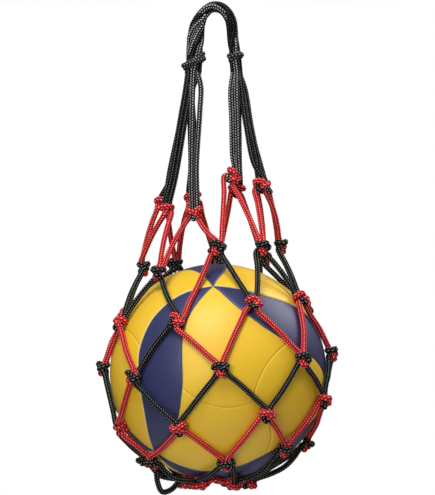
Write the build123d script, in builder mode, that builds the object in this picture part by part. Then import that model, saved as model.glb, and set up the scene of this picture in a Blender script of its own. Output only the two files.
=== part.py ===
from build123d import *
import os
from math import acos, cos, radians, sin, sqrt

# Knotted net ball bag with a rope handle, and the ball that it carries.
#
# The net is eight diamond meshes round. It is made in courses of braided cord, red and black
# by turns, joined by sheet-bend knots in rows a (top) to g (bottom). The handle is one black
# cord laid over the hand eight times. Its bights hang from the ends of the grip as four legs,
# each with a front and a back bight, and the first red course is knotted on them. Down the
# front left runs the line where the rounds of the net join: there one leg of each course is
# of the other colour, because each cord is carried down to its next round.
#
# Millimetres. +Z up, +X to the right, the front faces -Y. The origin is the hanging point,
# the underside of the grip at its middle.

# ---------------------------------------------------------------- driving dimensions
cord_d = 5.4                    # braided cord of the net and handle
whipping_d = 4.5                # cord of the lashings at the grip's ends
ball_r = 105.0                  # size 5 volleyball
ball_centre = Vector(3, 0, -349)
fit_gap = 0.35                  # cord and knots stay this clear of the ball
knot_r = 6.75                   # a drawn-up sheet bend

panel_t = 1.2                   # composite leather panels
carcass_t = 0.6                 # wound and rubber-coated carcass
bladder_t = 0.5
layer_gap = 0.1                 # between panels, carcass and bladder
seam_gap = 0.1                  # each panel stays this clear of the middle of its seam
valve_r = 5.0
valve_flange_r = 9.0
valve_flange_t = 1.5
valve_recess = 0.6              # the valve's mouth lies this deep in its panel
valve_bore_r = 1.2              # takes the pump's needle
valve_bore_depth = 12.0         # counted from the ball's surface

strand_pitch = 5.5              # strands of the grip lie side by side at this spacing
strands_per_layer = 4
grip_base_x = 21.5              # half the span of the grip at its lower ends
grip_base_z = -58.0             # where the grip ends and the loose legs begin
grip_top_x = 16.1               # half the span where the arch begins
grip_top_z = 5.5                # middle of the bundle at the top of the arch
grip_bend_r = 16.5              # bend of the bundle over the hand
leg_overlap = 1.0               # a leg runs this far into its grip strand

# Lashing turns, as fractions of the grip from its left end.
whipping_stations = {"left": [0.035, 0.07, 0.105], "right": [0.85, 0.885, 0.92]}
wrap_gap = 0.2                  # lashings lie this clear of the strands

swing_gap = 1.0                 # between a handle strand's end and its knot
course_gap = 1.6                # between the first course's ends and the knots of row b
bight_half = 2.8                # a bight's two strands enter their knot this far off its middle
port_side = 3.0                 # a net cord enters its knot this far to one side
port_rise = 4.2                 # and this far above or below its middle
leg_bow = 1.5                   # slack cords above the ball bow out this much
tail_length = 9.0               # free end of the handle cord
tail_exit = Vector(4.6, -3.0, 0.6)      # where it leaves its knot, from the knot's middle
tail_lean = Vector(0.62, -0.3, -0.72)   # the way it hangs

# Row a: the bights of the handle, front ones left to right, then back ones right to left.
row_a = [
    Vector(-46.6, -9, -192.0), Vector(-20.4, -9, -195.0),
    Vector(16.5, -9, -159.0), Vector(44.6, -9, -167.8),
    Vector(46.0, 9, -168.5), Vector(21.3, 9, -172.7),
    Vector(-21.3, 9, -180.4), Vector(-50.4, 9, -185.3),
]
# Row b stands free, just above the ball's top.
row_b = [
    Vector(-69.8, 12, -248.3), Vector(-54.3, -42, -252.0),
    Vector(2.0, -48, -228.0), Vector(45.6, -38, -228.0),
    Vector(64.0, 12, -227.0), Vector(48.0, 42, -240.0),
    Vector(2.0, 50, -240.0), Vector(-39.0, 42, -245.0),
]
# Rows c to f lie on the ball. Each place is an azimuth from the front, positive to the right,
# and a height above the ball's centre.
row_c_places = [
    (-70, 48), (-24, 51), (22, 67), (68, 71), (112, 62), (157, 62), (203, 60), (248, 54),
]
row_d_places = [(-85, 4), (-47, -3), (1, 6), (47, 14), (86, 18), (135, 10), (181, 8), (226, 5)]
row_e_places = [
    (-74, -54), (-22, -51), (26, -38), (70, -27), (112, -35), (157, -42), (202, -48), (247, -52),
]
row_f_places = [
    (-94, -86), (-62, -86), (6, -86), (49, -73), (98, -71), (140, -76), (183, -82), (226, -86),
]
# Row g is drawn together round the bottom.
bottom_row_r = 32.0
row_g_azimuths = [-78, -34, 27, 73, 119, 162, 205, 246]
bottom_ring_r = 24.0

# The ball's colours meet at the corners of a regular tetrahedron. One corner faces the front.
star_azimuth, star_elevation, star_turn = -4.5, 53.7, -35.8
# A blue panel lies along each edge. Its two borders change places when the ball is turned half
# round about the edge's middle. This is one of them, in degrees along the edge from its middle
# and degrees to the side.
border_points = [
    (-54.74, 0), (-50, -4), (-44, -9.3), (-37, -13.5), (-30, -16), (-22, -17.8), (-12, -17.6),
    (-2, -15.8), (8, -11.5), (18, -6.5), (28, -2.8), (38, -1.2), (48, -0.4), (54.74, 0),
]
border_steps = 28
# Three yellow panels fill each face. Their seams run from the borders to the face's middle.
split_at = 13                   # the step of the border where a seam begins
split_steps = 8
split_turn = 34.0               # a seam bends round by this many degrees on its way
wedge_past_ball = 1.2

cord_shell = ball_r + fit_gap + cord_d / 2     # cords lie with their middles at this radius
knot_shell = ball_r + fit_gap + knot_r
os.makedirs("parts", exist_ok=True)


# ---------------------------------------------------------------- helpers
def unit(vector):
    return vector * (1 / vector.length)


def on_ball(places):
    """Middles of the knots that rest on the ball at the given azimuths and heights."""
    knots = []
    for azimuth, height in places:
        ring = sqrt(knot_shell**2 - height**2)
        arm = Vector(ring * sin(radians(azimuth)), -ring * cos(radians(azimuth)), height)
        knots.append(ball_centre + arm)
    return knots


def rests(knot):
    """Whether a knot rests on the ball."""
    return (knot - ball_centre).length < knot_shell + 1


def outward(knot):
    """The way a knot faces: straight out of the ball, or level out from the bag's axis."""
    arm = knot - ball_centre
    return unit(arm) if rests(knot) else unit(Vector(arm.X, arm.Y, 0))


def port(knot, side, rise, out=None):
    """Where a cord enters or leaves a knot. side is -1 for left and 1 for right, from outside."""
    out = out or outward(knot)
    right = unit(Vector(0, 0, 1).cross(out))
    up = out.cross(right)
    inset = knot_shell - cord_shell if rests(knot) else 0
    return knot + right * (side * port_side) + up * rise - out * inset


def outside(start, end, bow):
    """Middle of a cord between two points, bowed out level and never nearer than the ball."""
    middle = (start + end) * 0.5
    middle += unit(Vector(middle.X - ball_centre.X, middle.Y, 0)) * bow
    arm = middle - ball_centre
    return ball_centre + unit(arm) * max(cord_shell + 0.1, arm.length)


def cord(start, middle, end, diameter=cord_d):
    """A round cord on the arc through three points, added to the part in hand."""
    with BuildLine() as route:
        ThreePointArc(start, middle, end)
    with BuildSketch(Plane(origin=route.line @ 0, z_dir=route.line % 0)) as section:
        Circle(diameter / 2)
    sweep(section.sketch, path=route.line)


def course(upper, lower, shift, top_rise=-port_rise, bottom_rise=port_rise, bow=0, out=None):
    """The sixteen legs of a course. With shift -1 lower knot k hangs from upper k-1 and k,
    and with shift 0 from upper k and k+1. Each leg is (start, middle, end)."""
    legs = []
    for k in range(8):
        for source, side in (((k + shift) % 8, -1), ((k + shift + 1) % 8, 1)):
            start = port(upper[source], -side, top_rise, out[source] if out else None)
            end = port(lower[k], side, bottom_rise)
            legs.append((start, outside(start, end, bow), end))
    return legs


def lashing_turn(station):
    """One turn of a lashing round the eight strands of the grip, at a plane across it."""
    reach = (cord_d + whipping_d) / 2 + wrap_gap
    half_depth = strand_pitch * (strands_per_layer - 1) / 2 + reach
    half_width = strand_pitch / 2 + reach
    with BuildLine(station) as loop:
        FilletPolyline(
            (-half_depth, -half_width),
            (half_depth, -half_width),
            (half_depth, half_width),
            (-half_depth, half_width),
            radius=reach,
            close=True,
        )
    with BuildSketch(Plane(origin=loop.line @ 0, z_dir=loop.line % 0)) as section:
        Circle(whipping_d / 2)
    sweep(section.sketch, path=loop.line)


def save(part, name):
    part.label = name
    export_step(part, f"parts/{name}.step")


# ---------------------------------------------------------------- handle: the grip
# Two layers of four strands run side by side over the hand.
slots_y = [strand_pitch * (n - (strands_per_layer - 1) / 2) for n in range(strands_per_layer)]
layer_offset = {"inner": -strand_pitch / 2, "outer": strand_pitch / 2}


def grip_route(offset):
    """The route over the hand, in the XZ plane, this far out from the middle of the bundle."""
    return FilletPolyline(
        (-grip_base_x - offset, grip_base_z),
        (-grip_top_x - offset, grip_top_z + offset),
        (grip_top_x + offset, grip_top_z + offset),
        (grip_base_x + offset, grip_base_z),
        radius=grip_bend_r + offset,
    )


for layer, offset in layer_offset.items():
    for number, y in enumerate(slots_y, start=1):
        with BuildPart() as grip_strand:
            with BuildLine(Plane.XZ.offset(-y)) as strand_path:
                grip_route(offset)
            with BuildSketch(Plane(origin=strand_path.line @ 0, z_dir=strand_path.line % 0)):
                Circle(cord_d / 2)
            sweep(path=strand_path.line)
        save(grip_strand.part, f"grip_strand_{layer}_{number}")

with BuildLine(Plane.XZ) as bundle:
    grip_route(0)


def across_grip(fraction):
    """The plane across the bundle at a fraction of its length."""
    return Plane(origin=bundle.line @ fraction, x_dir=(0, 1, 0), z_dir=bundle.line % fraction)


for side, stations in whipping_stations.items():
    with BuildPart() as whipping:
        for fraction in stations:
            lashing_turn(across_grip(fraction))
    save(whipping.part, f"{side}_whipping")

# ---------------------------------------------------------------- handle: the legs
# Each leg's bight is two strands, side by side where they meet their knot. Outer strands go
# to legs a and d, inner ones to b and c.
bights = [
    ("leg_a_front", row_a[0], "outer", -1, slots_y[:2]),
    ("leg_b_front", row_a[1], "inner", -1, slots_y[:2]),
    ("leg_c_front", row_a[2], "inner", 1, slots_y[:2]),
    ("leg_d_front", row_a[3], "outer", 1, slots_y[:2]),
    ("leg_d_back", row_a[4], "outer", 1, slots_y[2:]),
    ("leg_c_back", row_a[5], "inner", 1, slots_y[2:]),
    ("leg_b_back", row_a[6], "inner", -1, slots_y[2:]),
    ("leg_a_back", row_a[7], "outer", -1, slots_y[2:]),
]
for name, knot, layer, side, slots in bights:
    with BuildPart() as leg:
        for y, entry_x in zip(slots, (-bight_half, bight_half)):
            start = Vector(side * (grip_base_x + layer_offset[layer]), y, grip_base_z + leg_overlap)
            end = knot + Vector(entry_x, 0, knot_r + swing_gap)
            with BuildSketch(Plane(origin=start, z_dir=end - start)):
                Circle(cord_d / 2)
            extrude(amount=(end - start).length)
    save(leg.part, name)

# ---------------------------------------------------------------- net: knots
row_c = on_ball(row_c_places)
row_d = on_ball(row_d_places)
row_e = on_ball(row_e_places)
row_f = on_ball(row_f_places)
bottom_height = -sqrt(knot_shell**2 - bottom_row_r**2)
row_g = on_ball([(azimuth, bottom_height) for azimuth in row_g_azimuths])

rows = {"a": row_a, "b": row_b, "c": row_c, "d": row_d, "e": row_e, "f": row_f, "g": row_g}
for letter, knots in rows.items():
    with BuildPart() as knot_row:
        with Locations(*knots):
            Sphere(knot_r)
    save(knot_row.part, f"knots_row_{letter}")

# The free end of the handle cord hangs out of the right front knot.
with BuildPart() as cord_tail:
    with BuildSketch(Plane(origin=row_a[3] + tail_exit, z_dir=tail_lean)):
        Circle(cord_d / 2)
    extrude(amount=tail_length)
save(cord_tail.part, "cord_tail")

# ---------------------------------------------------------------- net: courses of cord
front, back = Vector(0, -1, 0), Vector(0, 1, 0)
facing = [front] * 4 + [back] * 4

first_course = course(
    row_a, row_b, -1, bottom_rise=knot_r + course_gap, bow=leg_bow, out=facing,
)
with BuildPart() as red_course_1:
    for leg in first_course:
        cord(*leg)
save(red_course_1.part, "red_course_1")

# Each course's legs, and the place in the list of the leg carried down in the other colour.
courses = [
    ("black_course_2", "red_carried_leg_2", course(row_b, row_c, 0, bow=leg_bow), 3),
    ("red_course_3", "black_carried_leg_3", course(row_c, row_d, -1), 3),
    ("black_course_4", "red_carried_leg_4", course(row_d, row_e, 0), 1),
    ("red_course_5", "black_carried_leg_5", course(row_e, row_f, -1), 1),
    ("black_course_6", None, course(row_f, row_g, 0), None),
]
for name, carried_name, legs, carried in courses:
    with BuildPart() as course_part:
        for place, leg in enumerate(legs):
            if place != carried:
                cord(*leg)
    save(course_part.part, name)
    if carried_name:
        with BuildPart() as carried_part:
            cord(*legs[carried])
        save(carried_part.part, carried_name)

# The net starts from a ring of red cord under the ball.
ring_height = -sqrt(cord_shell**2 - bottom_ring_r**2)
with BuildPart() as bottom_ring:
    with Locations(ball_centre + Vector(0, 0, ring_height)):
        Torus(bottom_ring_r, cord_d / 2)
save(bottom_ring.part, "bottom_ring")

# ---------------------------------------------------------------- ball
# The sphere is cut by the four faces of the tetrahedron on its corners. What lies beyond two
# faces is a blue panel, along an edge. What lies beyond one face is yellow, in three panels.
star_right = Vector(cos(radians(star_azimuth)), sin(radians(star_azimuth)), 0)
star = Vector(
    sin(radians(star_azimuth)) * cos(radians(star_elevation)),
    -cos(radians(star_azimuth)) * cos(radians(star_elevation)),
    sin(radians(star_elevation)),
)
star_down = star_right.cross(star)
corners = [star]
for step in (0, 120, 240):
    angle = radians(star_turn + step)
    arm = star_down * cos(angle) + star_right * sin(angle)
    corners.append(star * (-1 / 3) + arm * (2 * sqrt(2) / 3))

panel_inner_r = ball_r - panel_t
carcass_r = panel_inner_r - layer_gap
bladder_r = carcass_r - carcass_t - layer_gap
bladder_inner_r = bladder_r - bladder_t


with BuildLine() as border:
    Spline(*border_points)


def border_between(i, j):
    """Directions from corner i to corner j along the border that bulges out first."""
    middle = unit(corners[i] + corners[j])
    along = unit(corners[j] - corners[i])
    side = middle.cross(along)
    directions = []
    for n in range(border_steps + 1):
        place = border.line @ (n / border_steps)
        ahead, aside = radians(place.X), radians(place.Y)
        level = middle * cos(ahead) + along * sin(ahead)
        directions.append(level * cos(aside) + side * sin(aside))
    return directions


def split_to_face_middle(start, face_middle):
    """Directions along the curved seam from a border to where three yellow panels meet."""
    reach = acos(start.dot(face_middle))
    way = unit(start - face_middle * start.dot(face_middle))
    across = face_middle.cross(way)
    directions = []
    for n in range(split_steps + 1):
        turn = radians(split_turn) * n / split_steps
        arm = way * cos(turn) + across * sin(turn)
        left = reach * (1 - n / split_steps)
        directions.append(face_middle * cos(left) + arm * sin(left))
    return directions


def wedge(outline, middle):
    """Everything between the ball's centre and a panel's outline, kept clear of the seams."""
    winding = sum(
        (middle.dot(p.cross(q)) for p, q in zip(outline, outline[1:] + outline[:1])), 0.0
    )
    outline = outline if winding > 0 else outline[::-1]
    rim = []
    for before, point, after in zip(outline[-1:] + outline, outline, outline[1:] + outline[:1]):
        left_before, left_after = unit(before.cross(point)), unit(point.cross(after))
        inward = (left_before + left_after) * (1 / (1 + left_before.dot(left_after)))
        inset = unit(point + inward * (seam_gap / ball_r))
        rim.append(ball_centre + inset * (wedge_past_ball * ball_r))
    top = ball_centre + middle * (wedge_past_ball**2 * ball_r)
    sides = []
    for p, q in zip(rim, rim[1:] + rim[:1]):
        sides.append(Face(Wire.make_polygon([ball_centre, q, p])))
        sides.append(Face(Wire.make_polygon([top, p, q])))
    return Solid(Shell(sides))


def shell(outer_r, inner_r):
    """A hollow sphere round the ball's centre, added to the part in hand."""
    with Locations(ball_centre):
        Sphere(outer_r)
        Sphere(inner_r, mode=Mode.SUBTRACT)


valve_pair = (0, 3)             # the valve sits in the blue panel at the back of the top
hole_past_ball = 1.0
valve_way = unit(corners[valve_pair[0]] + corners[valve_pair[1]])
valve_plane = Plane(origin=ball_centre, z_dir=valve_way)


def valve_hole(radius):
    """Cuts the valve's hole out from the ball's centre."""
    with BuildSketch(valve_plane) as hole:
        Circle(radius)
    extrude(hole.sketch, amount=ball_r + hole_past_ball, mode=Mode.SUBTRACT)


edges_of_tetrahedron = [(i, j) for i in range(4) for j in range(i + 1, 4)]
for number, pair in enumerate(edges_of_tetrahedron, start=1):
    i, j = pair
    outline = border_between(i, j)[:-1] + border_between(j, i)[:-1]
    with BuildPart() as blue_panel:
        shell(ball_r, panel_inner_r)
        add(wedge(outline, unit(corners[i] + corners[j])), mode=Mode.INTERSECT)
        if pair == valve_pair:
            valve_hole(valve_r)
    save(blue_panel.part, f"blue_panel_{number}")

number = 0
for face in range(4):
    face_middle = -corners[face]
    for corner in range(4):
        if corner == face:
            continue
        number += 1
        # Round the face, one of its other corners comes after this one and one before it.
        after, before = [k for k in range(4) if k not in (face, corner)]
        if corners[face].dot(corners[corner].cross(corners[after])) < 0:
            after, before = before, after
        leaving = border_between(corner, after)[:split_at + 1]
        coming = border_between(before, corner)[split_at:-1]
        outline = leaving + split_to_face_middle(leaving[-1], face_middle)[1:]
        outline += split_to_face_middle(coming[0], face_middle)[-2:0:-1] + coming
        with BuildPart() as yellow_panel:
            shell(ball_r, panel_inner_r)
            add(wedge(outline, unit(corners[corner] + face_middle)), mode=Mode.INTERSECT)
        save(yellow_panel.part, f"yellow_panel_{number}")

with BuildPart() as carcass:
    shell(carcass_r, bladder_r + layer_gap)
    valve_hole(valve_r)
save(carcass.part, "carcass")

with BuildPart() as bladder:
    shell(bladder_r, bladder_inner_r)
    valve_hole(valve_r)
save(bladder.part, "bladder")

flange_top = sqrt(bladder_inner_r**2 - valve_flange_r**2) - layer_gap
with BuildPart() as valve:
    with BuildSketch(valve_plane.offset(flange_top - valve_flange_t)):
        Circle(valve_flange_r)
    extrude(amount=valve_flange_t)
    with BuildSketch(valve_plane.offset(flange_top)):
        Circle(valve_r - layer_gap)
    extrude(amount=ball_r - valve_recess - flange_top)
    with BuildSketch(valve_plane.offset(ball_r)):
        Circle(valve_bore_r)
    extrude(amount=-valve_bore_depth, mode=Mode.SUBTRACT)
save(valve.part, "valve")
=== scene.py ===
import math

import bmesh
import bpy
import numpy as np
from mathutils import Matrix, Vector


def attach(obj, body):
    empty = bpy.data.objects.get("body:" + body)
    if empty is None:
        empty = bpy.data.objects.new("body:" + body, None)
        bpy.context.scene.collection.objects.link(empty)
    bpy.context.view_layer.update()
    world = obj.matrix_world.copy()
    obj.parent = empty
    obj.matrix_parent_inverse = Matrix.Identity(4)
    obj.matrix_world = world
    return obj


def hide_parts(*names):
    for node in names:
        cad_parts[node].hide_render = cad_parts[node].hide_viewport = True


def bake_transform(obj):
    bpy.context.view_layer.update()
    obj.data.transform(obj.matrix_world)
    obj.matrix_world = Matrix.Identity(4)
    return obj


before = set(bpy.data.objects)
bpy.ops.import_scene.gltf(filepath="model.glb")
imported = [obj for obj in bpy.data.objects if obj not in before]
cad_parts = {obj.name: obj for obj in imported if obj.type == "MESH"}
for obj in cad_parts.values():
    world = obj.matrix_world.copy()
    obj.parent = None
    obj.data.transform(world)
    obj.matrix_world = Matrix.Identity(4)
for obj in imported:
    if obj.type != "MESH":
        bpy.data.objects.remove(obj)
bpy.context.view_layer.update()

# Knotted net ball bag with a rope handle, and the ball that it carries.
#
# Every cord is one braided rope, swept along a smooth curve through given points. The net's
# courses are closed rounds: each cord runs as a bight through the knots below it and is hitched
# round the bights of the knots above it, which makes the sheet bends. The handle's strands run
# over the hand and end in bights too. Lengths in the lists are millimetres, made metres by mm().

random = np.random.default_rng(7)

# ------------------------ cord
# Radii. The CAD's are 2.7, and 2.25 in the lashings.
CORD_R = 2.8
KNOT_CORD_R = 3.1  # where a knot crowds its strands
WHIPPING_R = 2.5
TAIL_R = 2.6
LEAST_GAP = 0.1  # softened cord is never nearer to the ball than this
SWELL_FADE = 6  # samples over which a cord swells to a knot's radius
ROPE_ROUNDING = 3  # times that a cord's curve is softened
GRIP_ROUNDING = 12  # and the middle line of the grip
FINE_STEPS = 16  # between two points of a curve, before it is sampled evenly

# ------------------------ sizes that the CAD shares
BALL_R = 105.0
BALL_CENTRE = np.array([3.0, 0.0, -349.0])
FIT_GAP = 0.35  # cord and knots are laid this clear of the ball
KNOT_R = 6.75
CORD_SHELL = BALL_R + FIT_GAP + CORD_R
KNOT_SHELL = BALL_R + FIT_GAP + KNOT_R
BOTTOM_ROW_R = 32.0
PANEL_T = 1.2

# Knots of the two top rows: (right, back, up), the front ones from the left, then round the back.
ROW_A = [
    (-46.6, -9, -192.0), (-20.4, -9, -195.0), (16.5, -9, -159.0), (44.6, -9, -167.8),
    (46.0, 9, -168.5), (21.3, 9, -172.7), (-21.3, 9, -180.4), (-50.4, 9, -185.3),
]
ROW_B = [
    (-69.8, 12, -248.3), (-54.3, -42, -252.0), (2.0, -48, -228.0), (45.6, -38, -228.0),
    (64.0, 12, -227.0), (48.0, 42, -240.0), (2.0, 50, -240.0), (-39.0, 42, -245.0),
]
# Azimuth from the front, positive to the right, and height above the ball's centre.
ROW_C = [(-70, 48), (-24, 51), (22, 67), (68, 71), (112, 62), (157, 62), (203, 60), (248, 54)]
ROW_D = [(-85, 4), (-47, -3), (1, 6), (47, 14), (86, 18), (135, 10), (181, 8), (226, 5)]
ROW_E = [
    (-74, -54), (-22, -51), (26, -38), (70, -27), (112, -35), (157, -42), (202, -48), (247, -52),
]
ROW_F = [
    (-94, -86), (-62, -86), (6, -86), (49, -73), (98, -71), (140, -76), (183, -82), (226, -86),
]
ROW_G_AZIMUTHS = [-78, -34, 27, 73, 119, 162, 205, 246]

# ------------------------ braid
STITCH = 2.6  # length of one stitch along the cord
COLUMNS = 6  # columns of stitches round the cord, leaning left and right by turns
ROUND_STEPS = 4 * COLUMNS
STEP = STITCH / 4
GROOVE = 0.16  # depth of the grooves between stitches, as a share of the radius
LEAN = 0.28  # how far a stitch leans across its column, in stitches, each way
FILAMENTS = 5  # fine ridges along a stitch
CAP_R, CAP_RISE = 0.72, 0.5  # a cut end's shoulder, as shares of the radius


def mm(points):
    """Millimetres to metres."""
    return np.asarray(points, float) * 0.001


def unit(vectors):
    return vectors / np.linalg.norm(vectors, axis=-1, keepdims=True)


def ease(low, high, value):
    """0 below low, 1 above high, and smooth between."""
    t = np.clip((np.asarray(value, float) - low) / (high - low), 0, 1)
    return t * t * (3 - 2 * t)


def add_object(name, data):
    """A new object of the scene."""
    added = bpy.data.objects.new(name, data)
    bpy.context.scene.collection.objects.link(added)
    return added


# ------------------------ camera and light
WHITE, WARM = (1.0, 1.0, 1.0), (1.0, 0.80, 0.58)
DIM_BELOW, BRIGHT_ABOVE = 0.06, 0.34  # strength of the surround
FLOOR_HEIGHT = -1.35


def camera():
    """Level with the middle of the bag and square to its front, through a long lens."""
    data = bpy.data.cameras.new("camera")
    view = add_object("camera", data)
    distance, height_seen = 4.0, 0.4802
    data.sensor_width = 36
    data.lens = data.sensor_width * distance / height_seen
    view.location = (0.0024, -distance, -0.2282)
    view.rotation_euler = (math.radians(90), 0, 0)
    bpy.context.scene.camera = view


def area_light(name, place, aim, size, power):
    """A soft rectangular lamp, turned towards its aim."""
    data = bpy.data.lights.new(name, "AREA")
    data.shape = "RECTANGLE"
    data.size, data.size_y = size
    data.energy = power
    light = add_object(name, data)
    light.location = place
    light.rotation_euler = (Vector(aim) - Vector(place)).to_track_quat("-Z", "Y").to_euler()


def surround():
    """Seen as white; it lights softly, from above more than from below, where it is warmer."""
    world = bpy.data.worlds.new("surround")
    n = Nodes(world)
    way = n.add("ShaderNodeTexCoord").outputs["Generated"]
    height = n.add("ShaderNodeSeparateXYZ", {"Vector": way}).outputs["Z"]
    level = n.ramp(height, -0.6, 0.9, DIM_BELOW, BRIGHT_ABOVE)
    tint = n.mix(n.ramp(height, -0.5, 0.3), WARM, WHITE)
    light = n.add("ShaderNodeBackground", {"Color": tint, "Strength": level}).outputs["Background"]
    seen = n.tree.nodes["Background"]
    seen.inputs["Color"].default_value = (*WHITE, 1)
    camera_ray = n.add("ShaderNodeLightPath").outputs["Is Camera Ray"]
    choice = n.add("ShaderNodeMixShader", {"Fac": camera_ray, 1: light, 2: seen.outputs["Background"]})
    n.put(n.tree.nodes["World Output"].inputs["Surface"], choice.outputs["Shader"])
    bpy.context.scene.world = world
    bpy.context.scene.view_settings.view_transform = "Standard"


def studio():
    """A white surround, soft lights above, in front and behind at the right, and a floor."""
    surround()
    middle = (0, 0, -0.28)
    area_light("key", (-0.3, -1.0, 1.2), middle, (0.9, 0.7), 23)
    area_light("front", (-0.9, -2.3, 0.1), middle, (0.7, 0.7), 19)
    area_light("rim", (1.1, 0.5, 0.75), middle, (0.9, 0.9), 14)
    bpy.ops.mesh.primitive_grid_add(x_subdivisions=24, y_subdivisions=24, size=3.2)
    floor = bpy.context.object
    floor.name = "floor"
    floor.location = (0, 0, FLOOR_HEIGHT)
    floor.data.materials.append(plain_material("floor_paper", (0.72, 0.72, 0.71), 0.8))


# ------------------------ materials
SEAM_SHADOW = (0.12, 0.08, 0.03)


class Nodes:
    """The node tree of a material or a world, with short calls to add nodes and join them."""

    def __init__(self, owner):
        owner.use_nodes = True
        self.owner, self.tree = owner, owner.node_tree

    def add(self, kind, inputs=None, **settings):
        node = self.tree.nodes.new(kind)
        for key, value in settings.items():
            setattr(node, key, value)
        for key, value in (inputs or {}).items():
            self.put(node.inputs[key], value)
        return node

    def put(self, socket, value):
        if isinstance(value, bpy.types.NodeSocket):
            self.tree.links.new(value, socket)
        else:
            socket.default_value = value

    def math(self, operation, a, b=0.0):
        node = self.add("ShaderNodeMath", operation=operation)
        self.put(node.inputs[0], a)
        self.put(node.inputs[1], b)
        return node.outputs[0]

    def mix(self, factor, a, b):
        node = self.add("ShaderNodeMix", data_type="RGBA")
        self.put(node.inputs["Factor"], factor)
        self.put(node.inputs["A"], (*a, 1) if isinstance(a, tuple) else a)
        self.put(node.inputs["B"], (*b, 1) if isinstance(b, tuple) else b)
        return node.outputs["Result"]

    def ramp(self, value, low, high, start=0.0, end=1.0):
        """start at the low value and end at the high one, and held beyond them."""
        limits = {"From Min": low, "From Max": high, "To Min": start, "To Max": end}
        return self.add("ShaderNodeMapRange", {"Value": value, **limits}).outputs["Result"]

    def noise(self, scale, detail=3.0):
        node = self.add("ShaderNodeTexNoise", {"Scale": scale, "Detail": detail})
        self.put(node.inputs["Vector"], self.add("ShaderNodeTexCoord").outputs["Object"])
        return node.outputs["Fac"]

    def attribute(self, name):
        return self.add("ShaderNodeAttribute", attribute_name=name).outputs["Fac"]

    def bump(self, height, distance, strength=1.0, normal=None):
        node = self.add("ShaderNodeBump", {"Strength": strength, "Distance": distance})
        self.put(node.inputs["Height"], height)
        if normal is not None:
            self.put(node.inputs["Normal"], normal)
        return node.outputs["Normal"]

    def finish(self, **inputs):
        """Sets the material's shader, and returns the material."""
        for key, value in inputs.items():
            self.put(self.tree.nodes["Principled BSDF"].inputs[key.replace("_", " ")], value)
        return self.owner


def plain_material(name, color, roughness):
    """Matte paper or rubber with a faint mottle and a fine tooth."""
    n = Nodes(bpy.data.materials.new(name))
    mottle = n.math("MULTIPLY", n.noise(9.0), 0.25)
    shade = n.mix(mottle, color, tuple(0.8 * c for c in color))
    tooth = n.bump(n.noise(900.0), 0.0002, 0.3)
    return n.finish(Base_Color=shade, Roughness=roughness, Normal=tooth)


def cord_material(name, painted_groove_shade, body, painted_glint_color, roughness):
    """Braided polyester: painted shade darkens the grooves between the stitches, and a painted
    highlight sits on the crown of each stitch.
    """
    n = Nodes(bpy.data.materials.new(name))
    parts = n.add("ShaderNodeSeparateXYZ", {"Vector": n.add("ShaderNodeTexCoord").outputs["UV"]})
    column = n.math("MULTIPLY", parts.outputs["X"], float(COLUMNS))
    zigzag = n.math("MULTIPLY", n.math("PINGPONG", column, 1.0), 2 * LEAN)
    odd = n.math("MODULO", n.math("FLOOR", column), 2.0)
    along = n.math("ADD", n.math("SUBTRACT", parts.outputs["Y"], LEAN), zigzag)
    along = n.math("ADD", along, n.math("MULTIPLY", odd, 0.5))

    def off_middle(value):
        """0 at the middle of a stitch, 1 at its ends."""
        doubled = n.math("MULTIPLY", n.math("FRACT", value), 2.0)
        return n.math("ABSOLUTE", n.math("SUBTRACT", doubled, 1.0))

    ahead, aside = off_middle(along), off_middle(column)
    oval = n.math("ADD", n.math("POWER", ahead, 2.0), n.math("POWER", aside, 2.0))
    # swell is 1 on a stitch and 0 in the grooves between; the grooves get a darker colour as painted
    # shade, and swell also gives the bump.
    swell = n.ramp(oval, 1.1, 0.2)
    # A painted highlight on the crown of each stitch, its strength set by the shine attribute and
    # varied by a noise.
    crest = n.ramp(oval, 0.42, 0.24)
    shine = n.math("MULTIPLY", n.attribute("shine"), n.math("ADD", n.noise(190.0, 2.0), 0.5))
    painted_glint = n.math("MULTIPLY", crest, shine)
    filament = n.math("SINE", n.math("MULTIPLY", along, 2 * math.pi * FILAMENTS))
    shade = n.mix(painted_glint, n.mix(swell, painted_groove_shade, body), painted_glint_color)
    normal = n.bump(filament, 0.0001, 0.3, n.bump(swell, 0.0006, 0.7))
    gloss = n.math("ADD", n.math("MULTIPLY", painted_glint, 0.4), 0.03)
    return n.finish(Base_Color=shade, Roughness=roughness, Normal=normal, Specular_IOR_Level=gloss)


def panel_material(name, color, edge, line):
    """Soft composite leather: fine pebbles, a dark line in the seam and a paler turned edge."""
    n = Nodes(bpy.data.materials.new(name))
    seam, border = n.attribute("seam"), n.attribute("border")
    place = n.add("ShaderNodeTexCoord").outputs["Object"]
    pebbles = n.add("ShaderNodeTexVoronoi", {"Scale": 900.0, "Vector": place}).outputs["Distance"]
    tone = n.math("MULTIPLY", n.noise(26.0), 0.35)
    shade = n.mix(tone, color, tuple(0.86 * c for c in color))
    shade = n.mix(n.ramp(border, 0.7, 1.5), edge, shade)
    shade = n.mix(n.ramp(border, 0.2, 0.6), line, shade)
    shade = n.mix(n.ramp(seam, 0.0, 0.5, 0.7), SEAM_SHADOW, shade)
    grain = n.bump(pebbles, 0.0003, 0.5)
    return n.finish(Base_Color=shade, Roughness=0.44, Specular_IOR_Level=0.55, Normal=grain)


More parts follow.
